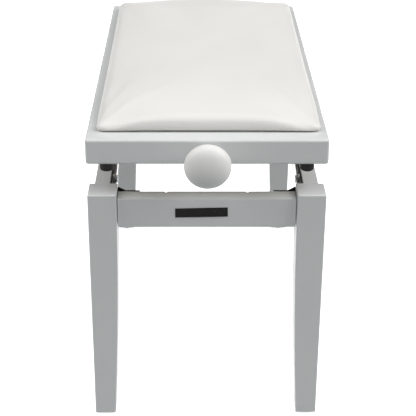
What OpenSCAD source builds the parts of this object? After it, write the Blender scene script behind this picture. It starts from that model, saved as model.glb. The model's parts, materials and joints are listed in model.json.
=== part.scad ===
// Height-adjustable piano bench.
// X runs across the seat, Y along it and Z up. The origin is on the floor under the middle of the seat.
// A screw in the seat draws a nut bar along, which closes or opens a scissor of flat arms on each side.

/* [Seat] */
// Width of the seat frame, across the player
seat_w = 330; // [300:1:420]
// Length of the seat frame
seat_l = 620; // [460:1:680]
// Height of the seat frame's boards
seat_h = 37; // [35:0.5:48]
// Thickness of the two long seat boards
seat_side_t = 20; // [16:0.5:24]
// Thickness of the two short seat boards, which carry the screw
seat_end_t = 32; // [24:0.5:40]
// Radius of the seat frame's top edges
seat_edge_r = 4.5; // [2:0.5:8]
// Radius of the seat frame's upright corners
seat_corner_r = 3; // [1:0.5:8]
// Thickness of the plywood board under the cushion
seat_board_t = 8; // [5:0.5:9]
// Gap round the plywood board
board_fit = 0.3; // [0.1:0.1:1]

/* [Cushion] */
// Height of the cushion's crown above the seat frame
cushion_h = 34; // [24:1:50]
// Bare seat frame beside the cushion, at each long side
cushion_side_gap = 13; // [6:0.5:25]
// Bare seat frame at each short end of the cushion
cushion_end_gap = 29; // [10:0.5:45]
// Radius of the cushion's corners, seen from above
cushion_corner_r = 16; // [8:1:30]

/* [Leg frame] */
// Height of the leg tops above the floor
leg_top = 367; // [300:1:460]
// How far the seat frame overhangs the legs
seat_overhang = 0.5; // [0:0.5:10]
// Width of a leg at its top
leg_w = 40; // [34:0.5:50]
// Width of a leg at its foot
foot_w = 30; // [24:0.5:38]
// How far the aprons are set back from the legs' outer faces
apron_inset = 7.5; // [3:0.5:10]
// Thickness of the two short aprons
end_apron_t = 25; // [18:0.5:25]
// Height of the two short aprons
end_apron_h = 43.5; // [40:0.5:70]
// How far the short aprons' top edge lies below the leg tops
end_apron_drop = 9; // [4:0.5:14]
// Thickness of the two long aprons
side_apron_t = 22; // [18:0.5:26]
// Seam between a short apron and a leg
seam_gap = 0.8; // [0.2:0.1:2]
// Width of the notches in the short aprons' top edge
notch_w = 3; // [2:0.5:6]
// Distance between the two notches
notch_spacing = 114; // [60:1:150]

/* [Feet and stops] */
// Diameter of the floor glides
glide_d = 16; // [12:0.5:24]
// Height of the floor glides
glide_h = 4.5; // [3:0.5:10]
// Diameter of the rubber stops under the seat
bumper_d = 20; // [14:0.5:26]
// Height of the rubber stops
bumper_h = 15.5; // [10:0.5:20]

/* [Height of the seat] */
// Gap between the leg tops and the seat frame, as the bench stands
lift_now = 46.5; // [40:0.5:60]
// How far the seat can go down from there
travel_down = 30.5; // [20:0.5:34]
// How far the seat can go up from there
travel_up = 69.5; // [40:0.5:80]

/* [Scissor arms] */
// Width of the flat arms
arm_w = 16; // [14:0.5:20]
// Thickness of the flat arms
arm_t = 3; // [2.5:0.5:4]
// Diameter of the pivot pins and of the sliding ends
pin_d = 7; // [5:0.5:8]
// Running clearance of a pin in its hole, on the radius
pin_fit = 0.05; // [0.03:0.01:0.1]
// Clearance above and below a sliding pin
slot_play = 0.8; // [0.6:0.1:1.2]
// Distance from a leg's inner corner to the fixed pivots, along the bench
pivot_inset = 28; // [24:1:40]
// Diameter of the tube that ties the outer arms
tie_d = 12; // [8:0.5:14]
// Distance of that tube from the fixed pivots
tie_reach = 62; // [45:1:90]
// Diameter of the sliding rod between the inner arms
slide_rod_d = 10; // [8:0.5:14]

/* [Steel rails and brackets] */
// Thickness of the rails' steel
rail_t = 2.5; // [2:0.5:3]
// Height of the rails
rail_h = 16; // [15:0.5:22]
// Gap between the rails and the outer arms
rail_gap = 1.5; // [1:0.5:3]
// Gap between the outer and the inner arms
arm_gap = 1; // [0.5:0.5:2]
// Thickness of the corner brackets' steel
bracket_t = 2.5; // [2:0.5:4]
// Length of the corner brackets' flanges
flange_l = 18; // [14:1:26]
// Gap between a leg's inner corner and its bracket
bracket_gap = 2; // [1:0.5:5]

/* [Screw and knobs] */
// Diameter of the lifting screw
screw_d = 12; // [8:0.5:14]
// Diameter of the knobs
knob_d = 63; // [45:1:75]
// How far a knob stands out from the seat frame
knob_out = 62; // [36:1:65]
// Diameter of a knob's neck
knob_neck_d = 27; // [20:0.5:34]
// Gap between a knob's neck and its bearing
knob_gap = 0.5; // [0.3:0.1:2]
// Wall of the screw's bearings
bearing_wall = 3; // [2:0.5:4]

/* [Name plate] */
// Width of the blank name plate
plate_w = 73; // [40:1:110]
// Height of the blank name plate
plate_h = 14; // [8:0.5:24]
// How far the plate's middle lies to the left
plate_shift = 7.5; // [0:0.5:30]
// Tilt of the plate, in degrees
plate_tilt = 1.2; // [0:0.1:3]

/* [Hidden] */
$fn = 64;
e = 0.5; // overshoot of a cut past the face it opens
frame_w = seat_w - 2 * seat_overhang;
frame_l = seat_l - 2 * seat_overhang;
leg_in_x = frame_w / 2 - leg_w;
leg_in_y = frame_l / 2 - leg_w;
seat_z = leg_top + lift_now;
seat_top = seat_z + seat_h;
screw_z = seat_z + seat_h / 2;
board_z = seat_top - seat_board_t;
seat_in_x = seat_w / 2 - seat_side_t;
seat_in_y = seat_l / 2 - seat_end_t;
// aprons
end_top = leg_top - end_apron_drop;
apron_z = end_top - end_apron_h;
end_out_y = frame_l / 2 - apron_inset;
end_in_y = end_out_y - end_apron_t;
side_out_x = frame_w / 2 - apron_inset;
side_in_x = side_out_x - side_apron_t;
// planes of the rails and arms, measured out from the middle
rail_x = side_in_x - rail_t;
outer_arm_x = rail_x - rail_gap - arm_t;
inner_arm_x = outer_arm_x - arm_gap - arm_t;
// scissor: fixed pivots at the front, sliding ends at the back
low_pivot_z = leg_top - rail_h / 2 + 1;
pivot_reach = leg_in_y - pivot_inset;
arm_over = 4; // what the arms are longer than the distance between the pivot planes
arm_len = 2 * pivot_reach + arm_over;
rise = screw_z - low_pivot_z;
arm_angle = asin(rise / arm_len);
slide_y = arm_len * cos(arm_angle) - pivot_reach;
slide_y_low = arm_len * cos(asin((rise - travel_down) / arm_len)) - pivot_reach;
slide_y_high = arm_len * cos(asin((rise + travel_up) / arm_len)) - pivot_reach;
slot_end = 3.5; // spare length at each end of the rails' slots
nut_shift = 1.2; // middle of the outer arms' long hole, past the arm's nominal end
nut_play = 2.4; // half the spare length of that hole
rail_end_y = leg_in_y - 2; // half the rails' length
// hardware
wood_screw_d = 4;
screw_head_d = 8;
pan_head_h = 2.4;
pan_screw_l = 16;
sunk_screw_l = 18;
board_screw_l = rail_t + seat_board_t - 1.5; // ends inside the plywood
dowel_d = 8;
dowel_in = 15; // depth of a dowel in a leg
dowel_fit = 0.05;
bolt_d = 8;
bolt_in = 22; // depth of a leg bolt in the leg
bolt_tail = 5; // what it stands out past its nut
bolt_z = apron_z + end_apron_h / 2 + 1;
dowel_rise = 13; // dowels above and below the bolt's height
nut_af = 13;
nut_h = 6.5;
washer_d = 17;
washer_h = 1.6;
pin_head = 4; // what a pivot pin's heads are wider than the pin
pin_head_h = 2;
bracket_top = end_top + 0.5;
bracket_low = apron_z - 3;
rail_notch = 1.2; // gap between a lower rail and the bracket's upper corner
collar_d = min(22, 2 * (board_z - screw_z) - 1.5); // clear of the plywood board
collar_l = 8;
plate_t = 0.8;
plate_z = apron_z + end_apron_h * 0.53; // height of the plate's middle
glide_stem_d = 5;
glide_stem_l = 14;
bumper_shift = 7; // how far the rubber stops lie inside of the legs' middles
seat_dowel_side = 20; // depth of a seat dowel in the long board
seat_dowel_end = 14; // and in the short board
bearing_flange = 1.5;
knob_pin_d = 3;
knob_pin_y = seat_l / 2 + 9;
knob_step = 6; // length of a knob's straight neck
knob_round = 3; // radius of a knob's rim
screw_end = seat_l / 2 + knob_out / 2;
nut_block_w = 34;
nut_block_l = 28;
cross_bar_d = 14;
knob_rim = 0.72 * knob_out; // where the knob is widest, out from the seat frame

WHITE = [0.93, 0.94, 0.94];
CLOTH = [0.94, 0.93, 0.91];
BLACK = [0.07, 0.07, 0.07];
ZINC = [0.62, 0.64, 0.66];
PLY = [0.78, 0.64, 0.45];
NYLON = [0.85, 0.85, 0.82];

// ---- placing helpers: sx is -1 at the left and 1 at the right, sy -1 at the front and 1 at the back

// puts a child, made for the right back corner, in another corner
module corner(sx, sy) {
    mirror([sx < 0 ? 1 : 0, 0, 0]) mirror([0, sy < 0 ? 1 : 0, 0]) children();
}

module all_corners() {
    for (sx = [-1, 1], sy = [-1, 1]) corner(sx, sy) children();
}

module both_sides() {
    for (sx = [-1, 1]) corner(sx, 1) children();
}

// cylinder along X from x0 to x1
module rod_x(x0, x1, d, y = 0, z = 0) {
    translate([x0, y, z]) rotate([0, 90, 0]) cylinder(d = d, h = x1 - x0);
}

// cylinder along Y from y0 to y1
module rod_y(y0, y1, d, x = 0, z = 0) {
    translate([x, y0, z]) rotate([-90, 0, 0]) cylinder(d = d, h = y1 - y0);
}

// upright box from its lowest and highest corners
module box(a, b) {
    translate(a) cube(b - a);
}

// slot through a plate that stands across X, with round ends
module slot_x(x0, x1, h, y0, y1, z) {
    rod_x(x0, x1, h, y0, z);
    rod_x(x0, x1, h, y1, z);
    box([x0, y0, z - h / 2], [x1, y1, z + h / 2]);
}

// ---- legs and aprons

// one leg face: plumb outside at 0, curved taper inside that starts under the apron
function leg_line(steps = 14) = [
    for (i = [0 : steps]) let (t = i / steps)
        [-leg_w + (leg_w - foot_w) * pow(t, 1.7), apron_z - t * (apron_z - glide_h)]
];

module leg_face() {
    polygon(concat([[0, glide_h], [0, leg_top], [-leg_w, leg_top]], leg_line()));
}

// bolt line of a leg: from the leg's inner corner, x grows towards the middle of the bench
module on_bolt_line() {
    translate([leg_in_x, leg_in_y, bolt_z]) rotate([0, 0, -135]) children();
}

module end_dowels(fit = 0) {
    for (z = [bolt_z - dowel_rise, bolt_z + dowel_rise]) {
        rod_x(leg_in_x - dowel_in - fit, leg_in_x + dowel_in + fit, dowel_d + 2 * fit,
            end_out_y - end_apron_t / 2, z);
    }
}

module side_dowels(fit = 0) {
    for (z = [bolt_z - dowel_rise, bolt_z + dowel_rise]) {
        rod_y(leg_in_y - dowel_in - fit, leg_in_y + dowel_in + fit, dowel_d + 2 * fit,
            side_out_x - side_apron_t / 2, z);
    }
}

module leg() {
    color(WHITE) difference() {
        translate([frame_w / 2, frame_l / 2, 0]) intersection() {
            rotate([90, 0, 0]) linear_extrude(leg_w) leg_face();
            rotate([90, 0, 90]) translate([0, 0, -leg_w]) linear_extrude(leg_w) leg_face();
        }
        end_dowels(dowel_fit);
        side_dowels(dowel_fit);
        on_bolt_line() rod_x(-bolt_in - e, e, bolt_d + 2 * dowel_fit);
        glide_stem(dowel_fit);
    }
}

module glide_stem(fit = 0) {
    translate([frame_w / 2 - foot_w / 2, frame_l / 2 - foot_w / 2, glide_h - e])
        cylinder(d = glide_stem_d + 2 * fit, h = glide_stem_l + e + fit);
}

module glide() {
    sole_r = glide_d / 2 - 1.5;
    color(BLACK) union() {
        translate([frame_w / 2 - foot_w / 2, frame_l / 2 - foot_w / 2, 0]) rotate_extrude()
            polygon([[0, 0], [sole_r, 0], [glide_d / 2, 1.5], [glide_d / 2, glide_h], [0, glide_h]]);
        glide_stem();
    }
}

module end_apron() {
    end_x = leg_in_x - seam_gap;
    color(WHITE) difference() {
        box([-end_x, end_in_y, apron_z], [end_x, end_out_y, end_top]);
        both_sides() end_dowels(dowel_fit);
        for (x = [-notch_spacing / 2, notch_spacing / 2])
            box([x - notch_w / 2, end_in_y - e, end_top - notch_w],
                [x + notch_w / 2, end_in_y + notch_w, end_top + e]);
    }
}

module side_apron() {
    color(WHITE) difference() {
        box([side_in_x, -leg_in_y, apron_z], [side_out_x, leg_in_y, leg_top]);
        for (sy = [-1, 1]) corner(1, sy) side_dowels(dowel_fit);
    }
}

module apron_dowels() {
    color(PLY) all_corners() {
        end_dowels();
        side_dowels();
    }
}

// blank plate on the front apron
module name_plate() {
    color(BLACK) translate([-plate_shift, -end_out_y, plate_z])
        rotate([90, -plate_tilt, 0]) translate([-plate_w / 2, -plate_h / 2, 0])
            cube([plate_w, plate_h, plate_t]);
}

// ---- corner brackets and leg bolts

// plan of a bracket: a strip at 45 degrees across the corner, with a flange at each end
function bracket_sum(s) = leg_in_x + leg_in_y - s * sqrt(2);

module bracket_strip() {
    far = bracket_sum(bracket_gap);
    near = bracket_sum(bracket_gap + bracket_t);
    polygon([[side_in_x, far - side_in_x], [far - end_in_y, end_in_y],
        [near - end_in_y, end_in_y], [side_in_x, near - side_in_x]]);
}

module bracket() {
    end_x = bracket_sum(bracket_gap) - end_in_y;
    side_y = bracket_sum(bracket_gap) - side_in_x;
    color(BLACK) difference() {
        union() {
            translate([0, 0, bracket_low]) linear_extrude(bracket_top - bracket_low) bracket_strip();
            box([end_x - bracket_t - flange_l, end_in_y - bracket_t, bracket_low],
                [end_x - bracket_t, end_in_y, bracket_top]);
            box([side_in_x - bracket_t, side_y - bracket_t - flange_l, bracket_low],
                [side_in_x, side_y - bracket_t, leg_top - rail_h - 1]);
        }
        on_bolt_line() rod_x(0, bracket_gap + 2 * bracket_t, bolt_d + 1);
        bracket_screw_places() rod_x(-e, bracket_t + e, wood_screw_d + 2 * dowel_fit);
    }
}

// the bracket's screws: x grows into the wood from the flange's near face
module bracket_screw_places() {
    end_x = bracket_sum(bracket_gap) - end_in_y - bracket_t - flange_l / 2;
    side_y = bracket_sum(bracket_gap) - side_in_x - bracket_t - flange_l / 2;
    for (z = [bolt_z - dowel_rise, bolt_z]) {
        translate([end_x, end_in_y - bracket_t, z]) rotate([0, 0, 90]) children();
        translate([side_in_x - bracket_t, side_y, z - 4]) children();
    }
}

module leg_bolts() {
    tail = bracket_gap + bracket_t + washer_h + nut_h + bolt_tail;
    color(ZINC) all_corners() on_bolt_line() rod_x(-bolt_in, tail, bolt_d);
}

module leg_washers() {
    s = bracket_gap + bracket_t;
    color(ZINC) all_corners() on_bolt_line() difference() {
        rod_x(s, s + washer_h, washer_d);
        rod_x(s - e, s + washer_h + e, bolt_d + 2 * dowel_fit);
    }
}

module leg_nuts() {
    s = bracket_gap + bracket_t + washer_h;
    color(ZINC) all_corners() on_bolt_line() difference() {
        translate([s, 0, 0]) rotate([0, 90, 0]) cylinder(d = nut_af / cos(30), h = nut_h, $fn = 6);
        rod_x(s - e, s + nut_h + e, bolt_d + 2 * dowel_fit);
    }
}

// ---- rails

module lower_rail() {
    notch_y = bracket_sum(bracket_gap + bracket_t) - side_in_x - rail_notch;
    color(BLACK) difference() {
        box([rail_x, -rail_end_y, leg_top - rail_h], [side_in_x, rail_end_y, leg_top]);
        for (sy = [-1, 1]) corner(1, sy)
            box([rail_x - e, notch_y, leg_top - rail_h - e],
                [side_in_x + e, rail_end_y + e, bracket_top + rail_notch]);
        rod_x(rail_x - e, side_in_x + e, pin_d, -pivot_reach, low_pivot_z);
        slot_x(rail_x - e, side_in_x + e, pin_d + 2 * slot_play, slide_y_high - slot_end,
            slide_y_low + slot_end, low_pivot_z);
        rail_screw_places() sunk_screw(dowel_fit);
    }
}

module rail_screw_places() {
    for (y = [-0.55, 0, 0.55]) translate([rail_x, y * pivot_reach, leg_top - rail_h / 2]) children();
}

// countersunk wood screw that points along +X, its head flush
module sunk_screw(fit = 0) {
    head = (screw_head_d - wood_screw_d) / 2;
    rotate([0, 90, 0]) rotate_extrude() polygon([[0, -fit], [screw_head_d / 2 + fit, -fit],
        [screw_head_d / 2 + fit, 0], [wood_screw_d / 2 + fit, head], [wood_screw_d / 2 + fit, sunk_screw_l],
        [0, sunk_screw_l + fit]]);
}

// pan-head wood screw that points along +X, its head proud
module pan_screw() {
    rod_x(-pan_head_h, 0, screw_head_d);
    rod_x(-e, pan_screw_l, wood_screw_d);
}

module rail_screws() {
    color(ZINC) both_sides() rail_screw_places() sunk_screw();
}

module bracket_screws() {
    color(ZINC) all_corners() bracket_screw_places() pan_screw();
}

module upper_rail() {
    low_z = screw_z - rail_h / 2;
    color(BLACK) difference() {
        union() {
            box([rail_x, -rail_end_y, low_z], [side_in_x, rail_end_y, board_z]);
            box([rail_x, -rail_end_y, board_z - rail_t], [seat_in_x, rail_end_y, board_z]);
        }
        rod_x(rail_x - e, side_in_x + e, pin_d, -pivot_reach, screw_z);
        slot_x(rail_x - e, side_in_x + e, pin_d + 2 * slot_play, slide_y_high - slot_end,
            slide_y_low + slot_end, screw_z);
        upper_screw_places() rod_x(-e, rail_t + e, wood_screw_d + 2 * dowel_fit);
    }
}

// screws that fasten an upper rail to the seat board from below
module upper_screw_places() {
    for (y = [-0.85, -0.3, 0.3, 0.85])
        translate([(side_in_x + seat_in_x) / 2, y * pivot_reach, board_z - rail_t])
            rotate([0, -90, 0]) children();
}

module upper_rail_screws() {
    color(ZINC) both_sides() upper_screw_places() {
        rod_x(-pan_head_h, 0, screw_head_d);
        rod_x(-e, board_screw_l, wood_screw_d);
    }
}

// ---- pivots

module lower_pivot_pins() {
    head_x = outer_arm_x - 1.6; // thin enough to pass beside the inner arms' plane
    color(ZINC) both_sides() {
        rod_x(head_x, outer_arm_x, pin_d + pin_head, -pivot_reach, low_pivot_z);
        rod_x(head_x, side_in_x, pin_d, -pivot_reach, low_pivot_z);
    }
}

module lower_pivot_washers() {
    color(NYLON) both_sides() difference() {
        rod_x(outer_arm_x + arm_t, rail_x, 2 * pin_d, -pivot_reach, low_pivot_z);
        rod_x(outer_arm_x, rail_x + e, pin_d + 2 * pin_fit, -pivot_reach, low_pivot_z);
    }
}

module upper_pivot_pins() {
    head_x = inner_arm_x - pin_head_h;
    color(ZINC) both_sides() {
        rod_x(head_x, inner_arm_x, pin_d + pin_head, -pivot_reach, screw_z);
        rod_x(head_x, side_in_x + pin_head_h, pin_d, -pivot_reach, screw_z);
        rod_x(side_in_x, side_in_x + pin_head_h, pin_d + pin_head, -pivot_reach, screw_z);
    }
}

module upper_pivot_sleeves() {
    color(NYLON) both_sides() difference() {
        rod_x(inner_arm_x + arm_t, rail_x, pin_d + pin_head, -pivot_reach, screw_z);
        rod_x(inner_arm_x, rail_x + e, pin_d + 2 * pin_fit, -pivot_reach, screw_z);
    }
}

module centre_pins() {
    color(ZINC) both_sides() on_outer_arm() {
        rod_x(outer_arm_x + arm_t, outer_arm_x + arm_t + pin_head_h, pin_d + pin_head, arm_len / 2);
        rod_x(inner_arm_x - pin_head_h, outer_arm_x + arm_t + pin_head_h, pin_d, arm_len / 2);
        rod_x(inner_arm_x - pin_head_h, inner_arm_x - 0.2, pin_d + pin_head, arm_len / 2);
    }
}

// ---- arms, drawn along +Y from their fixed pivot

module on_outer_arm() {
    translate([0, -pivot_reach, low_pivot_z]) rotate([arm_angle, 0, 0]) children();
}

module on_inner_arm() {
    translate([0, -pivot_reach, screw_z]) rotate([-arm_angle, 0, 0]) children();
}

// flat bar with round ends from the pivot to a length, on the plane that starts at x
module arm_bar(x, length) {
    slot_x(x, x + arm_t, arm_w, 0, length, 0);
}

module outer_arm() {
    hole_h = pin_d + 2 * slot_play;
    color(ZINC) on_outer_arm() difference() {
        arm_bar(outer_arm_x, arm_len + nut_shift + nut_play);
        rod_x(outer_arm_x - e, outer_arm_x + arm_t + e, pin_d + 2 * pin_fit);
        rod_x(outer_arm_x - e, outer_arm_x + arm_t + e, pin_d, arm_len / 2);
        slot_x(outer_arm_x - e, outer_arm_x + arm_t + e, hole_h, arm_len + nut_shift - nut_play,
            arm_len + nut_shift + nut_play, 0);
    }
}

module outer_arm_tie() {
    color(ZINC) on_outer_arm() rod_x(-outer_arm_x, outer_arm_x, tie_d, tie_reach);
}

module inner_arm() {
    color(ZINC) on_inner_arm() difference() {
        arm_bar(inner_arm_x, arm_len);
        rod_x(inner_arm_x - e, inner_arm_x + arm_t + e, pin_d + 2 * pin_fit);
        rod_x(inner_arm_x - e, inner_arm_x + arm_t + e, pin_d + 2 * slot_play, arm_len / 2);
        rod_x(inner_arm_x - e, inner_arm_x + arm_t + e, pin_d, arm_len);
    }
}

// rod between the inner arms' low ends, whose thinner ends run in the lower rails' slots
module slide_rod() {
    color(ZINC) on_inner_arm() {
        rod_x(-inner_arm_x, inner_arm_x, slide_rod_d, arm_len);
        rod_x(-side_in_x + e, side_in_x - e, pin_d, arm_len);
    }
}

// ---- nut bar and screw

module nut_block() {
    color(ZINC) difference() {
        translate([0, slide_y, screw_z]) cube([nut_block_w, nut_block_l, screw_d + 4], center = true);
        rod_y(slide_y - nut_block_l, slide_y + nut_block_l, screw_d + 2 * pin_fit, 0, screw_z);
    }
}

module cross_bar() {
    color(ZINC) {
        rod_x(nut_block_w / 2, inner_arm_x - 1, cross_bar_d, slide_y, screw_z);
        rod_x(nut_block_w / 2, side_in_x + 3, pin_d, slide_y, screw_z);
    }
}

module lead_screw() {
    color(ZINC) difference() {
        rod_y(-screw_end, screw_end, screw_d, 0, screw_z);
        knob_pin_places() cylinder(d = knob_pin_d + 2 * dowel_fit, h = knob_neck_d, center = true);
    }
}

module knob_pin_places() {
    for (sy = [-1, 1]) translate([0, sy * knob_pin_y, screw_z]) children();
}

module knob_pins() {
    color(ZINC) knob_pin_places() cylinder(d = knob_pin_d, h = knob_neck_d - 2, center = true);
}

module thrust_collars() {
    color(ZINC) for (sy = [-1, 1]) corner(1, sy) difference() {
        rod_y(seat_in_y - knob_gap - collar_l, seat_in_y - knob_gap, collar_d, 0, screw_z);
        rod_y(seat_in_y - 2 * collar_l, seat_in_y, screw_d, 0, screw_z);
    }
}

module bearing() {
    color(NYLON) difference() {
        union() {
            rod_y(seat_in_y, seat_l / 2, screw_d + 2 * bearing_wall, 0, screw_z);
            rod_y(seat_l / 2, seat_l / 2 + bearing_flange, screw_d + 4 * bearing_wall, 0, screw_z);
        }
        rod_y(seat_in_y - e, seat_l / 2 + 2 * e + bearing_flange, screw_d + 2 * pin_fit, 0, screw_z);
    }
}

// domed knob: a neck that flares under a mushroom head
module knob() {
    r = knob_d / 2;
    neck = knob_neck_d / 2;
    back = bearing_flange + knob_gap;
    under = knob_rim - back - knob_step;
    dome = knob_out - knob_rim;
    flare = [for (a = [0 : 15 : 90]) [neck + (r - knob_round - neck) * (1 - cos(a)),
        back + knob_step + (under - knob_round) * sin(a)]];
    rim = [for (a = [-60 : 20 : 0]) [r - knob_round + knob_round * cos(a), knob_rim + knob_round * sin(a)]];
    head = [for (a = [8 : 8 : 88]) [r * cos(a), knob_rim + dome * sin(a)]];
    color(WHITE) difference() {
        translate([0, seat_l / 2, screw_z]) rotate([-90, 0, 0]) rotate_extrude()
            polygon(concat([[0, back], [neck, back]], flare, rim, head, [[0, knob_out]]));
        rod_y(seat_l / 2 + back - e, screw_end + e, screw_d + 2 * dowel_fit, 0, screw_z);
        knob_pin_places()
            cylinder(d = knob_pin_d + 2 * dowel_fit, h = knob_neck_d - 2, center = true);
    }
}

// ---- seat

module round_top(w) {
    translate([-w / 2, 0]) square([w, seat_h - seat_edge_r]);
    translate([-w / 2 + seat_edge_r, 0]) square([w - 2 * seat_edge_r, seat_h]);
    for (s = [-1, 1]) translate([s * (w / 2 - seat_edge_r), seat_h - seat_edge_r]) circle(seat_edge_r);
}

module round_plan(w, l, r) {
    square([w - 2 * r, l], center = true);
    square([w, l - 2 * r], center = true);
    for (sx = [-1, 1], sy = [-1, 1]) translate([sx * (w / 2 - r), sy * (l / 2 - r)]) circle(r);
}

// outer shape of the whole seat frame, from which its boards are cut
module seat_shape() {
    translate([0, 0, seat_z]) intersection() {
        translate([0, seat_l / 2, 0]) rotate([90, 0, 0]) linear_extrude(seat_l) round_top(seat_w);
        translate([-seat_w / 2, 0, 0]) rotate([90, 0, 90]) linear_extrude(seat_w) round_top(seat_l);
        linear_extrude(seat_h) round_plan(seat_w, seat_l, seat_corner_r);
    }
}

module seat_joint_dowels(fit = 0) {
    for (z = [seat_z + seat_h * 0.3, seat_z + seat_h * 0.68])
        rod_y(seat_in_y - seat_dowel_side - fit, seat_in_y + seat_dowel_end + fit, dowel_d + 2 * fit,
            seat_w / 2 - seat_side_t / 2, z);
}

module seat_side() {
    color(WHITE) difference() {
        intersection() {
            seat_shape();
            box([seat_in_x, -seat_in_y, seat_z - e], [seat_w, seat_in_y, seat_top + e]);
        }
        for (sy = [-1, 1]) corner(1, sy) seat_joint_dowels(dowel_fit);
    }
}

module seat_end() {
    color(WHITE) difference() {
        intersection() {
            seat_shape();
            box([-seat_w, seat_in_y, seat_z - e], [seat_w, seat_l, seat_top + e]);
        }
        both_sides() seat_joint_dowels(dowel_fit);
        rod_y(seat_in_y - e, seat_l / 2 + e, screw_d + 2 * bearing_wall, 0, screw_z);
    }
}

module seat_dowels() {
    color(PLY) all_corners() seat_joint_dowels();
}

module seat_board() {
    color(PLY) difference() {
        box([-seat_in_x + board_fit, -seat_in_y + board_fit, board_z],
            [seat_in_x - board_fit, seat_in_y - board_fit, seat_top]);
        both_sides() upper_screw_places()
            rod_x(-e, board_screw_l + dowel_fit, wood_screw_d + 2 * dowel_fit);
    }
}

// plain body of the cushion, a little narrower towards its crown
module cushion() {
    w = seat_w - 2 * cushion_side_gap;
    l = seat_l - 2 * cushion_end_gap;
    color(CLOTH) hull() {
        translate([0, 0, seat_top]) linear_extrude(cushion_h / 2) round_plan(w, l, cushion_corner_r, $fn = 32);
        for (p = [[0.75, 5], [1, 16]]) translate([0, 0, seat_top + p[0] * cushion_h - 0.5]) linear_extrude(0.5)
            round_plan(w - 2 * p[1], l - 2 * p[1], cushion_corner_r, $fn = 32);
    }
}

module bumper() {
    color(BLACK) translate([leg_in_x + leg_w / 2 - bumper_shift, leg_in_y + leg_w / 2, seat_z - bumper_h])
        rotate_extrude() polygon([[0, 0], [bumper_d / 2 - 2, 0], [bumper_d / 2, 2],
            [bumper_d / 2, bumper_h], [0, bumper_h]]);
}

// ---- the pieces in place

corner(-1, -1) leg();  // leg_front_left
corner(1, -1) leg();  // leg_front_right
corner(-1, 1) leg();  // leg_back_left
corner(1, 1) leg();  // leg_back_right
corner(-1, -1) glide();  // glide_front_left
corner(1, -1) glide();  // glide_front_right
corner(-1, 1) glide();  // glide_back_left
corner(1, 1) glide();  // glide_back_right
corner(1, -1) end_apron();  // end_apron_front
corner(1, 1) end_apron();  // end_apron_back
corner(-1, 1) side_apron();  // side_apron_left
corner(1, 1) side_apron();  // side_apron_right
corner(-1, 1) lower_rail();  // lower_rail_left
corner(1, 1) lower_rail();  // lower_rail_right
corner(-1, -1) bracket();  // bracket_front_left
corner(1, -1) bracket();  // bracket_front_right
corner(-1, 1) bracket();  // bracket_back_left
corner(1, 1) bracket();  // bracket_back_right
apron_dowels();
leg_bolts();
leg_washers();
leg_nuts();
rail_screws();
bracket_screws();
lower_pivot_pins();
lower_pivot_washers();
name_plate();
corner(-1, 1) seat_side();  // seat_side_left
corner(1, 1) seat_side();  // seat_side_right
corner(1, -1) seat_end();  // seat_end_front
corner(1, 1) seat_end();  // seat_end_back
seat_board();
seat_dowels();
cushion();
corner(-1, 1) upper_rail();  // upper_rail_left
corner(1, 1) upper_rail();  // upper_rail_right
upper_rail_screws();
upper_pivot_pins();
upper_pivot_sleeves();
corner(-1, -1) bumper();  // bumper_front_left
corner(1, -1) bumper();  // bumper_front_right
corner(-1, 1) bumper();  // bumper_back_left
corner(1, 1) bumper();  // bumper_back_right
corner(1, -1) bearing();  // bearing_front
corner(1, 1) bearing();  // bearing_back
corner(-1, 1) outer_arm();  // outer_arm_left
corner(1, 1) outer_arm();  // outer_arm_right
outer_arm_tie();
centre_pins();
corner(-1, 1) inner_arm();  // inner_arm_left
corner(1, 1) inner_arm();  // inner_arm_right
slide_rod();
nut_block();
corner(-1, 1) cross_bar();  // cross_bar_left
corner(1, 1) cross_bar();  // cross_bar_right
lead_screw();
thrust_collars();
corner(1, -1) knob();  // knob_front
corner(1, 1) knob();  // knob_back
knob_pins();
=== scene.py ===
import json
import math

import bmesh
import bpy
from mathutils import Matrix, Vector

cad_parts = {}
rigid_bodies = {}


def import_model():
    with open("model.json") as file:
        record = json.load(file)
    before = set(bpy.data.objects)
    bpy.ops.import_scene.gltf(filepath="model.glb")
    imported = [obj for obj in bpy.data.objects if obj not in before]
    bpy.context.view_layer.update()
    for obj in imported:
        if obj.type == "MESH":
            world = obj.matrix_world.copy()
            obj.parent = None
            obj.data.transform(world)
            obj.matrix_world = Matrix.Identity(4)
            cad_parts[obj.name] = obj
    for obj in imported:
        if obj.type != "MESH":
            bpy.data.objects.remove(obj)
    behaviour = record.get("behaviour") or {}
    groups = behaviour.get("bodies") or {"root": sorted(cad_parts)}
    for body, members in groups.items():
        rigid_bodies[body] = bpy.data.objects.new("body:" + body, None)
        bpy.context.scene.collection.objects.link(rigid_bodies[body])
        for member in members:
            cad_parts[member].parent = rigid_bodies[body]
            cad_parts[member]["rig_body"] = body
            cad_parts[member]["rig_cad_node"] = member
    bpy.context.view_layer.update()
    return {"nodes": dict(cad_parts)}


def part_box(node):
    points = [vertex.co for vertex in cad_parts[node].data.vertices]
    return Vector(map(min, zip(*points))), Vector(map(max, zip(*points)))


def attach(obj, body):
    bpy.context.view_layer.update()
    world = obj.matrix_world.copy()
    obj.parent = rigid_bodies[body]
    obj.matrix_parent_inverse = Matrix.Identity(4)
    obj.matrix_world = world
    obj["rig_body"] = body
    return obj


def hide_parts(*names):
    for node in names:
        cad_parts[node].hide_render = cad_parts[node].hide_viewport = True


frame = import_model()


# ---- Viewpoint, floor and lights
# The bench stands on a plain pale studio floor and is seen from its short end, from above.
# Two broad soft lights stand at its sides, the right one stronger, and a weak one above.
# The room is dim, paler from below, and its backdrop is white.

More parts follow.
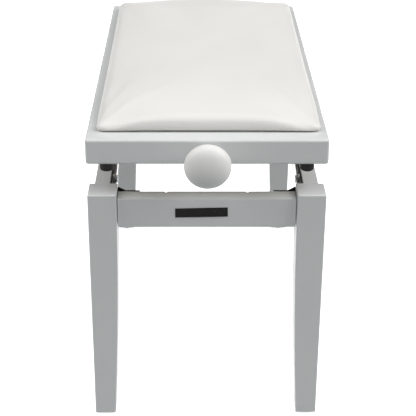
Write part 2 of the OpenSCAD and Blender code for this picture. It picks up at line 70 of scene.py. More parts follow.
scene = bpy.context.scene
scene.view_settings.view_transform = "Standard"
bpy.ops.object.select_all(action="DESELECT")
bpy.ops.object.camera_add(location=(-0.01995, -1.70325, 1.0584))
camera = bpy.context.object
camera.name = "viewpoint"
camera.rotation_mode = "QUATERNION"
camera.rotation_quaternion = (
    Matrix.Rotation(math.radians(-0.854), 3, "Z")
    @ Matrix.Rotation(math.radians(90 - 23.83), 3, "X")
    @ Matrix.Rotation(math.radians(0.365), 3, "Z")
).to_quaternion()
camera.data.sensor_width = 36
camera.data.lens = 98.2
camera.data.shift_y = -0.151
scene.camera = camera

bpy.ops.mesh.primitive_plane_add(size=60, location=(0, 0, 0))
floor = bpy.context.object
floor.name = "floor"
floor_paint = bpy.data.materials.new("floor_paint")
floor_paint.use_nodes = True
shader = floor_paint.node_tree.nodes["Principled BSDF"]
shader.inputs["Base Color"].default_value = (0.90, 0.91, 0.92, 1)
shader.inputs["Roughness"].default_value = 0.9
shader.inputs["Specular IOR Level"].default_value = 0.1
shader.inputs["Emission Color"].default_value = (1, 1, 1, 1)
shader.inputs["Emission Strength"].default_value = 0.75
floor.data.materials.append(floor_paint)
floor.visible_diffuse = False

LIGHT_DISTANCE, LIGHT_SPREAD = 3, 50
LIGHTS = (("right_light", 81, 40, 2.25), ("left_light", -81, 40, 1.5), ("top_light", 0, 85, 0.9))
for name, from_front, above_floor, strength in LIGHTS:
    round_by, up_by = math.radians(from_front), math.radians(above_floor)
    towards = Vector((math.sin(round_by) * math.cos(up_by),
                      -math.cos(round_by) * math.cos(up_by),
                      math.sin(up_by)))
    bpy.ops.object.light_add(type="SUN", location=towards * LIGHT_DISTANCE)
    light = bpy.context.object
    light.name = name
    light.data.energy = strength
    light.data.angle = math.radians(LIGHT_SPREAD)
    light.data.color = (1.0, 0.992, 0.975)
    light.rotation_euler = towards.to_track_quat("Z", "Y").to_euler()

scene.world = bpy.data.worlds.new("studio")
scene.world.use_nodes = True
room = scene.world.node_tree
upward = room.nodes.new("ShaderNodeSeparateXYZ")
room.links.new(room.nodes.new("ShaderNodeTexCoord").outputs["Generated"], upward.inputs[0])
glow = room.nodes.new("ShaderNodeMapRange")
glow.inputs["From Min"].default_value, glow.inputs["From Max"].default_value = -0.25, 0.25
glow.inputs["To Min"].default_value, glow.inputs["To Max"].default_value = 0.26, 0.07
room.links.new(upward.outputs["Z"], glow.inputs["Value"])
backdrop = room.nodes.new("ShaderNodeMath")
backdrop.operation = "MAXIMUM"
room.links.new(glow.outputs["Result"], backdrop.inputs[0])
room.links.new(room.nodes.new("ShaderNodeLightPath").outputs["Is Camera Ray"], backdrop.inputs[1])
room.links.new(backdrop.outputs["Value"], room.nodes["Background"].inputs["Strength"])
room.nodes["Background"].inputs["Color"].default_value = (0.93, 0.97, 1.0, 1)


# ---- Legs
# Four solid hardwood legs, plumb on their two outer faces and tapered on the two inner ones.
# Sprayed with white semi-gloss lacquer, and held to the aprons by dowels and a corner bolt.

LEG_W, FOOT_W = 0.040, 0.030
LEG_EDGE = 0.0016
TAPER_STEPS, TAPER_CURVE = 14, 1.7
SMOOTH_ANGLE = math.radians(38)
ENDS, SIDES = ("front", "back"), ("left", "right")
CORNERS = [(end, side) for end in ENDS for side in SIDES]


def start():
    """Leaves nothing selected, so that the next operator acts on its own piece alone."""
    bpy.ops.object.select_all(action="DESELECT")


def pick(piece, test):
    """Opens a piece for shaping with only those faces selected that pass a test of middle and normal."""
    bpy.context.view_layer.objects.active = piece
    bpy.ops.object.mode_set(mode="EDIT")
    bpy.ops.mesh.select_mode(type="FACE")
    bpy.ops.mesh.select_all(action="DESELECT")
    shape = bmesh.from_edit_mesh(piece.data)
    for face in shape.faces:
        if test(face.calc_center_median(), face.normal):
            face.select_set(True)
    bmesh.update_edit_mesh(piece.data)


def block(name, low, high):
    """A board sawn to the box between two corners."""
    start()
    low, high = Vector(low), Vector(high)
    bpy.ops.mesh.primitive_cube_add(size=1, location=(low + high) / 2)
    piece = bpy.context.object
    piece.name = name
    piece.scale = high - low
    bpy.ops.object.transform_apply(location=True, rotation=True, scale=True)
    return piece


def mirrored(piece, name, made_in, set_in, end, side="left"):
    """A copy, with its own mesh, of a piece made at the front left, mirrored into another box of its kind."""
    start()
    copy = piece.copy()
    copy.data = piece.data.copy()
    copy.name = name
    scene.collection.objects.link(copy)
    home, place = sum(made_in, Vector()) / 2, sum(set_in, Vector()) / 2
    across = Matrix.Diagonal((1 if side == "left" else -1, 1 if end == "front" else -1, 1, 1))
    copy.data.transform(Matrix.Translation(place) @ across @ Matrix.Translation(-home))
    pick(copy, lambda middle, normal: True)
    bpy.ops.mesh.normals_make_consistent(inside=False)
    bpy.ops.object.mode_set(mode="OBJECT")
    return copy


def settle(piece):
    """Applies every modifier on a piece."""
    start()
    piece.select_set(True)
    bpy.context.view_layer.objects.active = piece
    for modifier in list(piece.modifiers):
        bpy.ops.object.modifier_apply(modifier=modifier.name)


def ease(piece, width, segments=3, sharp=30):
    """Rounds over the sharp edges of a piece and shades it smooth between flat faces."""
    bevel = piece.modifiers.new("eased_edges", "BEVEL")
    bevel.width, bevel.segments = width, segments
    bevel.limit_method, bevel.angle_limit = "ANGLE", math.radians(sharp)
    settle(piece)
    bpy.ops.object.shade_smooth_by_angle(angle=SMOOTH_ANGLE)
    normals = piece.modifiers.new("flat_faces", "WEIGHTED_NORMAL")
    normals.keep_sharp = True
    settle(piece)


def fit(piece, body, finish, *rough):
    """Gives a finished piece its finish and hangs it on its body in place of its rough parts."""
    piece.data.materials.clear()
    piece.data.materials.append(finish)
    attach(piece, body)
    if rough:
        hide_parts(*rough)


def new_finish(name, colour, roughness):
    """A finish with its shader, and a function that adds nodes to it."""
    finish = bpy.data.materials.new(f"{name}_finish")
    finish["slot"] = name
    finish.use_nodes = True
    shader = finish.node_tree.nodes["Principled BSDF"]
    shader.inputs["Base Color"].default_value = (*colour, 1)
    shader.inputs["Roughness"].default_value = roughness

    def add(kind, values=None, **joins):
        node = finish.node_tree.nodes.new(kind)
        for key, value in (values or {}).items():
            if hasattr(node, key):
                setattr(node, key, value)
            else:
                node.inputs[key].default_value = value
        for key, socket in joins.items():
            finish.node_tree.links.new(socket, node.inputs[key.replace("_", " ")])
        return node

    def join(socket, name):
        finish.node_tree.links.new(socket, shader.inputs[name])

    place = add("ShaderNodeTexCoord").outputs["Object"]
    return finish, shader, add, join, place


def ramp(add, factor, stops):
    """A colour ramp from a list of (position, colour)."""
    node = add("ShaderNodeValToRGB", Fac=factor)
    elements = node.color_ramp.elements
    for element, (position, colour) in zip(elements, (stops[0], stops[-1])):
        element.position, element.color = position, (*colour, 1)
    for position, colour in stops[1:-1]:
        elements.new(position).color = (*colour, 1)
    return node.outputs["Color"]


def grey(value):
    """A colour or a plain amount for a ramp, the same in all three channels."""
    return (value, value, value)


def bumps(add, height, strength, depth):
    """The normal of a surface that a height roughens."""
    return add("ShaderNodeBump", {"Strength": strength, "Distance": depth}, Height=height).outputs["Normal"]


white_lacquer, shader, add, join, place = new_finish("white_lacquer", (0.72, 0.735, 0.74), 0.34)
shader.inputs["Coat Weight"].default_value = 0.35
shader.inputs["Coat Roughness"].default_value = 0.16
cloud = add("ShaderNodeTexNoise", {"Scale": 7.0, "Detail": 3.0}, Vector=place)
join(ramp(add, cloud.outputs["Fac"], [(0.3, (0.705, 0.722, 0.728)),
                                      (0.7, (0.735, 0.748, 0.752))]), "Base Color")
flow = add("ShaderNodeTexNoise", {"Scale": 45.0, "Detail": 4.0}, Vector=place)
join(ramp(add, flow.outputs["Fac"], [(0.3, grey(0.30)), (0.7, grey(0.40))]), "Roughness")
peel = add("ShaderNodeTexNoise", {"Scale": 620.0, "Detail": 2.0}, Vector=place)
join(bumps(add, peel.outputs["Fac"], 0.10, 0.0002), "Normal")

low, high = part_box("leg_front_left")
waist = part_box("end_apron_front")[0].z
blank = block("leg_blank", (low.x, low.y, waist), high)
pick(blank, lambda middle, normal: normal.z < -0.9)
width, level = LEG_W, waist
for i in range(1, TAPER_STEPS + 1):
    share = i / TAPER_STEPS
    new_width = LEG_W + (FOOT_W - LEG_W) * share ** TAPER_CURVE
    new_level = waist + (low.z - waist) * share
    bpy.ops.mesh.extrude_region_move(TRANSFORM_OT_translate={"value": (0, 0, new_level - level)})
    narrower = new_width / width
    bpy.ops.transform.resize(value=(narrower, narrower, 1), center_override=(low.x, low.y, new_level))
    width, level = new_width, new_level
bpy.ops.object.mode_set(mode="OBJECT")
for end, side in CORNERS:
    leg = mirrored(blank, f"lacquered_leg_{end}_{side}", (low, high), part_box(f"leg_{end}_{side}"), end, side)
    ease(leg, LEG_EDGE)
    fit(leg, "leg_frame", white_lacquer, f"leg_{end}_{side}")
bpy.data.objects.remove(blank)


# ---- Floor glides
# A round black glide of hard rubber under each foot, pressed in by its stem.
# Its sole is rounded off so that the bench slides over a floor without catching.


def turned(name, foot, along, rings, around=64):
    """A piece turned on a lathe: rings of (radius, distance from the foot) along its axis, end to end."""
    start()
    foot, along = Vector(foot), Vector(along)
    radius, reach = rings[0]
    bpy.ops.mesh.primitive_circle_add(vertices=around, radius=radius, fill_type="NGON",
                                      location=foot + along * reach,
                                      rotation=along.to_track_quat("Z", "Y").to_euler())
    piece = bpy.context.object
    piece.name = name
    bpy.ops.object.transform_apply(location=True, rotation=True, scale=True)
    bpy.ops.object.mode_set(mode="EDIT")
    bpy.ops.mesh.select_all(action="SELECT")
    for new_radius, new_reach in rings[1:]:
        bpy.ops.mesh.extrude_region_move(TRANSFORM_OT_translate={"value": along * (new_reach - reach)})
        bpy.ops.transform.resize(value=(new_radius / radius,) * 3, center_override=foot + along * new_reach)
        radius, reach = new_radius, new_reach
    bpy.ops.mesh.select_all(action="SELECT")
    bpy.ops.mesh.normals_make_consistent(inside=False)
    bpy.ops.object.mode_set(mode="OBJECT")
    bpy.ops.object.shade_smooth_by_angle(angle=SMOOTH_ANGLE)
    return piece


def arc(middle_r, middle_d, size_r, size_d, first, last, steps):
    """Rings round an arc, from one angle to another: 0 degrees points outwards, 90 along the axis."""
    rings = []
    for i in range(steps + 1):
        a = math.radians(first + (last - first) * i / steps)
        rings.append((middle_r + size_r * math.cos(a), middle_d + size_d * math.sin(a)))
    return rings


black_rubber, shader, add, join, place = new_finish("black_rubber", (0.007, 0.007, 0.007), 0.62)
shader.inputs["Specular IOR Level"].default_value = 0.2
bloom = add("ShaderNodeTexNoise", {"Scale": 60.0, "Detail": 5.0}, Vector=place)
join(ramp(add, bloom.outputs["Fac"], [(0.35, grey(0.005)), (0.75, grey(0.011))]), "Base Color")
join(ramp(add, bloom.outputs["Fac"], [(0.3, grey(0.55)), (0.7, grey(0.72))]), "Roughness")
mould = add("ShaderNodeTexNoise", {"Scale": 900.0, "Detail": 2.0}, Vector=place)
join(bumps(add, mould.outputs["Fac"], 0.25, 0.0002), "Normal")

SOLE_R, STEM_R = 0.0016, 0.0025
low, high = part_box("glide_front_left")
middle, radius = (low + high) / 2, (high.x - low.x) / 2
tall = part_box("leg_front_left")[0].z
blank = turned("glide_blank", (middle.x, middle.y, 0), (0, 0, 1),
               [(0.0010, 0.0007), (0.0030, 0.0004), (radius - 0.0022, 0.0)]
               + arc(radius - SOLE_R, SOLE_R, SOLE_R, SOLE_R, -70, 0, 5)
               + [(radius, tall - 0.0005), (radius - 0.0004, tall), (STEM_R, tall),
                  (STEM_R, high.z - 0.001), (STEM_R - 0.001, high.z)], 40)
for end, side in CORNERS:
    glide = mirrored(blank, f"rubber_glide_{end}_{side}", (low, high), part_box(f"glide_{end}_{side}"),
                     end, side)
    fit(glide, "leg_frame", black_rubber, f"glide_{end}_{side}")
bpy.data.objects.remove(blank)


# ---- Aprons
# Two short and two long hardwood boards join the legs, lacquered with them and set back from their faces.
# The short ones have two small notches in their top inner edge.

END_APRON_EDGE, SIDE_APRON_EDGE = 0.0007, 0.0014
NOTCH_FROM_MIDDLE, NOTCH_W, NOTCH_DEPTH = 0.057, 0.003, 0.003

low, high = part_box("end_apron_front")
blank = block("end_apron_blank", low, high)
for x in (-NOTCH_FROM_MIDDLE, NOTCH_FROM_MIDDLE):
    cutter = block("notch_cutter", (x - NOTCH_W / 2, high.y - NOTCH_DEPTH, high.z - NOTCH_DEPTH),
                   (x + NOTCH_W / 2, high.y + NOTCH_DEPTH, high.z + NOTCH_DEPTH))
    cut = blank.modifiers.new("notch", "BOOLEAN")
    cut.object, cut.operation, cut.solver = cutter, "DIFFERENCE", "EXACT"
    settle(blank)
    bpy.data.objects.remove(cutter)
for end in ENDS:
    apron = mirrored(blank, f"lacquered_end_apron_{end}", (low, high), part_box(f"end_apron_{end}"), end)
    ease(apron, END_APRON_EDGE)
    fit(apron, "leg_frame", white_lacquer, f"end_apron_{end}")
bpy.data.objects.remove(blank)
for side in SIDES:
    apron = block(f"lacquered_side_apron_{side}", *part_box(f"side_apron_{side}"))
    ease(apron, SIDE_APRON_EDGE)
    fit(apron, "leg_frame", white_lacquer, f"side_apron_{side}")


# ---- Seat frame
# Four hardwood boards dowelled into a box, filled at the joints and lacquered over to look like one piece.
# Its outer top edges and its corners are rounded over.

SEAT_EDGE, BROKEN_EDGE = 0.0042, 0.0007
HAIR = 1e-4

low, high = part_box("seat_side_left")[0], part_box("seat_side_right")[1]
low.y, high.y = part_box("seat_end_front")[0].y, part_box("seat_end_back")[1].y
inside_x, inside_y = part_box("seat_side_right")[0].x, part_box("seat_end_back")[0].y
seat_frame = block("lacquered_seat_frame", low, high)
pick(seat_frame, lambda middle, normal: abs(normal.z) > 0.9)
side_board = high.x - inside_x
bpy.ops.mesh.inset(thickness=side_board, depth=0)
bpy.ops.transform.resize(value=(1, inside_y / (high.y - side_board), 1), center_override=(0, 0, 0))
bpy.ops.mesh.bridge_edge_loops()
bpy.ops.mesh.select_all(action="SELECT")
bpy.ops.mesh.normals_make_consistent(inside=False)
bpy.ops.mesh.select_mode(type="EDGE")
bpy.ops.mesh.select_all(action="DESELECT")
shape = bmesh.from_edit_mesh(seat_frame.data)
for edge in shape.edges:
    tips = [v.co for v in edge.verts]
    at_side = [abs(p.x) > high.x - HAIR for p in tips]
    at_end = [abs(p.y) > high.y - HAIR for p in tips]
    upright = all(at_side) and all(at_end)
    round_the_top = all(p.z > high.z - HAIR and (a or b) for p, a, b in zip(tips, at_side, at_end))
    edge.select_set(upright or round_the_top)
bmesh.update_edit_mesh(seat_frame.data)
bpy.ops.mesh.bevel(offset=SEAT_EDGE, offset_type="OFFSET", segments=6, affect="EDGES")
bpy.ops.object.mode_set(mode="OBJECT")
ease(seat_frame, BROKEN_EDGE, 2, 40)
fit(seat_frame, "seat", white_lacquer, "seat_side_left", "seat_side_right", "seat_end_front", "seat_end_back")


# ---- Board under the cushion and dowels
# A sheet of birch plywood fills the seat frame, level with its top, and carries the foam and the upper rails.
# Beech dowels, glued in, hold the aprons to the legs and the seat boards to each other.

cad = frame["nodes"]

bare_wood, shader, add, join, place = new_finish("bare_wood", (0.70, 0.56, 0.38), 0.62)
plank = add("ShaderNodeMapping", {"Scale": (9.0, 1.2, 9.0)}, Vector=place)
figure = add("ShaderNodeTexNoise", {"Scale": 6.0, "Detail": 8.0, "Roughness": 0.6, "Distortion": 1.1},
             Vector=plank.outputs["Vector"])
join(ramp(add, figure.outputs["Fac"], [(0.30, (0.56, 0.42, 0.26)), (0.5, (0.70, 0.56, 0.37)),
                                       (0.72, (0.78, 0.65, 0.46))]), "Base Color")
pores = add("ShaderNodeMapping", {"Scale": (900.0, 45.0, 900.0)}, Vector=place)
grain = add("ShaderNodeTexNoise", {"Scale": 1.0, "Detail": 3.0}, Vector=pores.outputs["Vector"])
join(bumps(add, grain.outputs["Fac"], 0.35, 0.0002), "Normal")


def refinish(finish, *names):
    """Gives rough parts that stay as they are their finish."""
    for name in names:
        for slot in cad[name].material_slots:
            slot.material = finish


refinish(bare_wood, "apron_dowels", "seat_dowels", "seat_board")


# ---- Cushion
# Foam on the plywood board under a cover of white leatherette, pulled over the edges and stapled underneath.
# The cover swells over the foam, rolls under at its foot, and is drawn down towards its corners, most at the
# front. It was stapled on by hand, so it sits a little to the right.

START_LOW, START_HIGH = Vector((-0.001, -0.005, 0.0004)), Vector((0.005, 0.002, -0.0105))
CORNER_R, UNDER_R, TOP_R = 0.011, 0.006, 0.013
MESH_STEP, STAPLED_H, LEAST_H = 0.0045, 0.003, 0.0003
PUFF = 0.0125
DRAWN_FRONT, DRAWN_BACK, DRAWN_REACH = 0.5, 0.3, 0.045
FRAMES = 20

low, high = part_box("cushion")
foot, middle, half = low.z, (low + high) / 2, (high - low) / 2
cushion = block("leatherette_cushion", low + START_LOW, high + START_HIGH)
pick(cushion, lambda middle, normal: abs(normal.z) < 0.1)
bpy.ops.mesh.select_mode(type="EDGE")
bpy.ops.mesh.select_all(action="DESELECT")
shape = bmesh.from_edit_mesh(cushion.data)
for edge in shape.edges:
    run = edge.verts[0].co - edge.verts[1].co
    edge.select_set(abs(run.z) > 0.01)
bmesh.update_edit_mesh(cushion.data)
bpy.ops.mesh.bevel(offset=CORNER_R, segments=6, affect="EDGES")
bpy.ops.object.mode_set(mode="OBJECT")
pick(cushion, lambda middle, normal: normal.z < -0.9)
bpy.ops.mesh.bevel(offset=UNDER_R, segments=4, affect="EDGES")
bpy.ops.object.mode_set(mode="OBJECT")
pick(cushion, lambda middle, normal: normal.z > 0.9)
bpy.ops.mesh.bevel(offset=TOP_R, segments=6, affect="EDGES")
bpy.ops.object.mode_set(mode="OBJECT")
fine = cushion.modifiers.new("even_mesh", "REMESH")
fine.mode, fine.voxel_size = "VOXEL", MESH_STEP
settle(cushion)
rest = [v.co.copy() for v in cushion.data.vertices]
held = cushion.vertex_groups.new(name="stapled")
held.add([i for i, p in enumerate(rest) if p.z < foot + STAPLED_H], 1.0, "REPLACE")
swell = cushion.modifiers.new("swell", "CLOTH")
swell.settings.quality = 6
swell.settings.use_pressure = True
swell.settings.uniform_pressure_force = 4
swell.settings.vertex_group_mass = "stapled"
swell.settings.effector_weights.gravity = 0
scene.frame_start, scene.frame_end = 1, FRAMES
swell.point_cache.frame_start, swell.point_cache.frame_end = 1, FRAMES
for step in range(1, FRAMES + 1):
    scene.frame_set(step)
swollen = cushion.evaluated_get(bpy.context.evaluated_depsgraph_get())
moved = [v.co.copy() for v in swollen.data.vertices]
cushion.modifiers.remove(swell)
scene.frame_set(1)
farthest = max((now - was).length for was, now in zip(rest, moved))
for vertex, was, now in zip(cushion.data.vertices, rest, moved):
    vertex.co = was.lerp(now, PUFF / farthest)
for vertex in cushion.data.vertices:
    x, y, z = vertex.co
    from_corner = math.hypot(abs(x - middle.x) - half.x, abs(y) - half.y)
    drawn_down = (DRAWN_FRONT if y < 0 else DRAWN_BACK) * math.exp(-(from_corner / DRAWN_REACH) ** 2)
    vertex.co.z = foot + max(z - foot, LEAST_H) * (1 - drawn_down)
smooth = cushion.modifiers.new("soft_cover", "SMOOTH")
smooth.factor, smooth.iterations = 0.5, 2
finer = cushion.modifiers.new("finer", "SUBSURF")
finer.levels = finer.render_levels = 1
settle(cushion)
bpy.ops.object.shade_smooth()

leatherette, shader, add, join, place = new_finish("leatherette", (0.81, 0.80, 0.785), 0.42)
shader.inputs["Sheen Weight"].default_value = 0.06
shader.inputs["Sheen Roughness"].default_value = 0.5
tone = add("ShaderNodeTexNoise", {"Scale": 9.0, "Detail": 4.0}, Vector=place)
join(ramp(add, tone.outputs["Fac"], [(0.3, (0.80, 0.792, 0.776)),
                                     (0.7, (0.825, 0.816, 0.798))]), "Base Color")
handled = add("ShaderNodeTexNoise", {"Scale": 28.0, "Detail": 5.0}, Vector=place)
join(ramp(add, handled.outputs["Fac"], [(0.3, grey(0.37)), (0.7, grey(0.50))]), "Roughness")
cells = add("ShaderNodeTexVoronoi", {"feature": "SMOOTH_F1", "Scale": 950.0, "Smoothness": 0.6}, Vector=place)
ripple = add("ShaderNodeTexNoise", {"Scale": 210.0, "Detail": 3.0}, Vector=place)
skin = add("ShaderNodeBump", {"Strength": 0.08, "Distance": 0.0006}, Height=ripple.outputs["Fac"],
           Normal=bumps(add, cells.outputs["Distance"], 0.16, 0.0002))
join(skin.outputs["Normal"], "Normal")
fit(cushion, "seat", leatherette, "cushion")


# ---- Knobs
# A mushroom knob of white moulded plastic at each end of the lifting screw, held by a pin through its neck.
# Its dome is smooth and satin, with a rounded rim and a flared neck behind it.

knob_plastic, shader, add, join, place = new_finish("knob_plastic", (0.87, 0.87, 0.855), 0.38)
shade = add("ShaderNodeTexNoise", {"Scale": 35.0, "Detail": 4.0}, Vector=place)
join(ramp(add, shade.outputs["Fac"], [(0.3, (0.86, 0.86, 0.845)), (0.7, (0.885, 0.885, 0.87))]), "Base Color")
join(ramp(add, shade.outputs["Fac"], [(0.3, grey(0.34)), (0.7, grey(0.44))]), "Roughness")
spark = add("ShaderNodeTexNoise", {"Scale": 1400.0, "Detail": 2.0}, Vector=place)
join(bumps(add, spark.outputs["Fac"], 0.12, 0.0001), "Normal")

BORE_R, NECK_R, NECK_L, RIM_R, DOME_H = 0.0066, 0.0135, 0.006, 0.003, 0.0174
low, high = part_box("knob_front")
out, radius = high.y - low.y, (high.x - low.x) / 2
rim = out - DOME_H
under = rim - NECK_L - RIM_R
flare = [(NECK_R + (radius - RIM_R - NECK_R) * (1 - math.cos(math.radians(a))),
          NECK_L + under * math.sin(math.radians(a))) for a in range(0, 91, 9)]
blank = turned("knob_blank", (0, high.y, (low.z + high.z) / 2), (0, -1, 0),
               [(BORE_R, 0), (NECK_R - 0.001, 0), (NECK_R, 0.001)] + flare
               + arc(radius - RIM_R, rim, RIM_R, RIM_R, -72, 0, 6)
               + arc(0, rim, radius, DOME_H, 5, 88, 18), 96)
for end in ENDS:
    knob = mirrored(blank, f"moulded_knob_{end}", (low, high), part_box(f"knob_{end}"), end)
    fit(knob, "screw", knob_plastic, f"knob_{end}")
bpy.data.objects.remove(blank)


# ---- Rubber stops
# A black rubber stop under each corner of the seat, where it would meet the leg tops at its lowest.
# Moulded, with a rounded sole and a small dimple for its screw.

STOP_R = 0.0025
low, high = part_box("bumper_front_left")
middle, radius, tall = (low + high) / 2, (high.x - low.x) / 2, high.z - low.z
blank = turned("stop_blank", (middle.x, middle.y, high.z), (0, 0, -1),
               [(radius - 0.0005, 0), (radius, 0.0005), (radius - 0.0004, tall - STOP_R)]
               + arc(radius - 0.0004 - STOP_R, tall - STOP_R, STOP_R, STOP_R, 10, 90, 5)
               + [(0.0042, tall), (0.0036, tall - 0.0008),
                  (0.0034, tall - 0.003), (0.0010, tall - 0.0032)], 48)
for end, side in CORNERS:
    bumper = mirrored(blank, f"rubber_stop_{end}_{side}", (low, high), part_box(f"bumper_{end}_{side}"),
                      end, side)
    fit(bumper, "seat", black_rubber, f"bumper_{end}_{side}")
bpy.data.objects.remove(blank)


# ---- Brackets and rails
# Pressed from sheet steel with bent flanges, punched for their screws and slots, and powder-coated black.
# A bracket spans each inner corner of the leg frame; the rails line the long aprons and hang under the board.

SHEET_EDGE = 0.0004
SAME_POINT, SAME_PLANE = 2e-6, math.radians(0.4)

black_steel, shader, add, join, place = new_finish("black_steel", (0.014, 0.014, 0.015), 0.5)
coat = add("ShaderNodeTexNoise", {"Scale": 30.0, "Detail": 5.0}, Vector=place)
join(ramp(add, coat.outputs["Fac"], [(0.3, grey(0.012)), (0.75, grey(0.022))]), "Base Color")
join(ramp(add, coat.outputs["Fac"], [(0.3, grey(0.42)), (0.7, grey(0.58))]), "Roughness")
powder = add("ShaderNodeTexNoise", {"Scale": 750.0, "Detail": 3.0}, Vector=place)
join(bumps(add, powder.outputs["Fac"], 0.35, 0.0002), "Normal")


def pressed(name, node, body, finish, edge, segments=2):
    """A copy of a rough part that has its true shape, with its edges broken, as after tumbling."""
    start()
    piece = cad[node].copy()
    piece.data = cad[node].data.copy()
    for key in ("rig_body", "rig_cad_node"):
        if key in piece:
            del piece[key]
    piece.parent = None
    piece.name = name
    scene.collection.objects.link(piece)
    pick(piece, lambda middle, normal: True)
    bpy.ops.mesh.remove_doubles(threshold=SAME_POINT)
    bpy.ops.mesh.dissolve_limited(angle_limit=SAME_PLANE)
    bpy.ops.object.mode_set(mode="OBJECT")
    ease(piece, edge, segments, 50)
    fit(piece, body, finish, node)


for end, side in CORNERS:
    pressed(f"steel_bracket_{end}_{side}", f"bracket_{end}_{side}", "leg_frame", black_steel, SHEET_EDGE)
for side in SIDES:
    pressed(f"steel_lower_rail_{side}", f"lower_rail_{side}", "leg_frame", black_steel, SHEET_EDGE)
    pressed(f"steel_upper_rail_{side}", f"upper_rail_{side}", "seat", black_steel, SHEET_EDGE)


# ---- Scissor arms, pins and fasteners
# Flat steel arms cross on each long side, tied by a tube and a sliding rod, and turn on steel pins.
# Arms, pins, nut bar, bolts and screws are bright zinc-plated, with a faint blue and straw cast.

TUBE_EDGE, ROD_EDGE, BLOCK_EDGE = 0.0005, 0.0004, 0.0010

zinc_steel, shader, add, join, place = new_finish("zinc_steel", (0.60, 0.61, 0.63), 0.32)
shader.inputs["Metallic"].default_value = 1.0
cast = add("ShaderNodeTexNoise", {"Scale": 22.0, "Detail": 4.0}, Vector=place)
join(ramp(add, cast.outputs["Fac"], [(0.32, (0.56, 0.59, 0.64)), (0.5, (0.61, 0.62, 0.63)),
                                     (0.7, (0.66, 0.64, 0.59))]), "Base Color")
rub = add("ShaderNodeMapping", {"Scale": (300.0, 18.0, 300.0)}, Vector=place)
draw = add("ShaderNodeTexNoise", {"Scale": 1.0, "Detail": 4.0}, Vector=rub.outputs["Vector"])
join(ramp(add, draw.outputs["Fac"], [(0.3, grey(0.24)), (0.7, grey(0.42))]), "Roughness")
join(bumps(add, draw.outputs["Fac"], 0.10, 0.0001), "Normal")

for side in SIDES:
    pressed(f"flat_outer_arm_{side}", f"outer_arm_{side}", "outer_arms", zinc_steel, SHEET_EDGE)
    pressed(f"flat_inner_arm_{side}", f"inner_arm_{side}", "inner_arms", zinc_steel, SHEET_EDGE)
pressed("tie_tube", "outer_arm_tie", "outer_arms", zinc_steel, TUBE_EDGE)
pressed("sliding_rod", "slide_rod", "inner_arms", zinc_steel, ROD_EDGE)
pressed("drilled_nut_block", "nut_block", "nut_bar", zinc_steel, BLOCK_EDGE, 3)
refinish(zinc_steel, "centre_pins", "cross_bar_left", "cross_bar_right", "thrust_collars", "knob_pins",
         "leg_bolts", "leg_washers", "leg_nuts", "rail_screws", "bracket_screws", "lower_pivot_pins",
         "upper_rail_screws", "upper_pivot_pins")


# ---- Lifting screw
# A steel screw with a coarse single-start thread runs the whole length of the seat, through two bearings.
# It is rolled from round bar, with flat crests and sloping flanks, and plated like the arms.

ROOT_R, PITCH, FLANK = 0.0051, 0.003, 1.7
AROUND, RINGS = 24, 6
SEAM = 0.00002
low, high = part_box("lead_screw")
crest_r, axis_z = (high.x - low.x) / 2, (low.z + high.z) / 2
start()
bpy.ops.mesh.primitive_cylinder_add(vertices=AROUND, radius=crest_r, depth=PITCH, end_fill_type="NOTHING",
                                    location=(0, low.y + PITCH / 2, axis_z),
                                    rotation=(math.radians(-90), 0, 0))
screw = bpy.context.object
screw.name = "threaded_screw"
bpy.ops.object.transform_apply(location=True, rotation=True, scale=True)
bpy.ops.object.mode_set(mode="EDIT")
bpy.ops.mesh.select_mode(type="EDGE")
bpy.ops.mesh.select_all(action="DESELECT")
shape = bmesh.from_edit_mesh(screw.data)
for edge in shape.edges:
    edge.select_set(abs(edge.verts[0].co.y - edge.verts[1].co.y) > PITCH / 2)
bmesh.update_edit_mesh(screw.data)
bpy.ops.mesh.subdivide(number_cuts=RINGS - 1)
bpy.ops.object.mode_set(mode="OBJECT")
for vertex in screw.data.vertices:
    x, z = vertex.co.x, vertex.co.z - axis_z
    turn = (math.atan2(z, x) / (2 * math.pi) + (vertex.co.y - low.y) / PITCH) % 1.0
    rise = min(1.0, FLANK * (1 - abs(2 * turn - 1)))
    reach = (ROOT_R + (crest_r - ROOT_R) * rise) / math.hypot(x, z)
    vertex.co.x, vertex.co.z = x * reach, axis_z + z * reach
row = screw.modifiers.new("turns", "ARRAY")
row.count, row.use_relative_offset, row.use_constant_offset = int((high.y - low.y) / PITCH), False, True
row.constant_offset_displace = (0, PITCH, 0)
row.use_merge_vertices, row.merge_threshold = True, SEAM
settle(screw)
bpy.ops.object.mode_set(mode="EDIT")
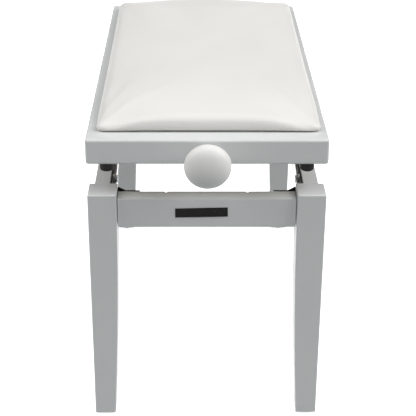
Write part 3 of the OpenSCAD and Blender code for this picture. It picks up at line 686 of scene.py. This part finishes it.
bpy.ops.mesh.select_mode(type="EDGE")
bpy.ops.mesh.select_all(action="DESELECT")
bpy.ops.mesh.select_non_manifold()
bpy.ops.mesh.edge_face_add()
bpy.ops.mesh.select_all(action="SELECT")
bpy.ops.mesh.normals_make_consistent(inside=False)
bpy.ops.object.mode_set(mode="OBJECT")
bpy.ops.object.shade_smooth_by_angle(angle=math.radians(50))
fit(screw, "screw", zinc_steel, "lead_screw")


# ---- Bearings and washers
# Flanged bushings of natural nylon carry the screw in the short seat boards, and washers space the arms.
# The moulded nylon is slightly translucent and milky.

BEARING_EDGE = 0.0003

nylon, shader, add, join, place = new_finish("nylon", (0.78, 0.78, 0.74), 0.4)
shader.inputs["Subsurface Weight"].default_value = 0.15
shader.inputs["Subsurface Radius"].default_value = (0.002, 0.002, 0.0015)
milk = add("ShaderNodeTexNoise", {"Scale": 80.0, "Detail": 4.0}, Vector=place)
join(ramp(add, milk.outputs["Fac"], [(0.3, (0.74, 0.74, 0.69)), (0.7, (0.80, 0.80, 0.77))]), "Base Color")
join(ramp(add, milk.outputs["Fac"], [(0.3, grey(0.36)), (0.7, grey(0.5))]), "Roughness")
refinish(nylon, "lower_pivot_washers", "upper_pivot_sleeves")
for end in ENDS:
    pressed(f"flanged_bearing_{end}", f"bearing_{end}", "seat", nylon, BEARING_EDGE)


# ---- Name plate
# A thin black plastic plate on the front apron, left blank, with a gloss face.
# Stuck on by hand, slightly off centre and out of level.

PLATE_EDGE = 0.00025

plate_plastic, shader, add, join, place = new_finish("plate_plastic", (0.008, 0.008, 0.008), 0.3)
shader.inputs["Specular IOR Level"].default_value = 0.1
smear = add("ShaderNodeTexNoise", {"Scale": 55.0, "Detail": 5.0}, Vector=place)
join(ramp(add, smear.outputs["Fac"], [(0.3, grey(0.004)), (0.75, grey(0.008))]), "Base Color")
join(ramp(add, smear.outputs["Fac"], [(0.3, grey(0.18)), (0.7, grey(0.30))]), "Roughness")
pressed("blank_plate", "name_plate", "leg_frame", plate_plastic, PLATE_EDGE)
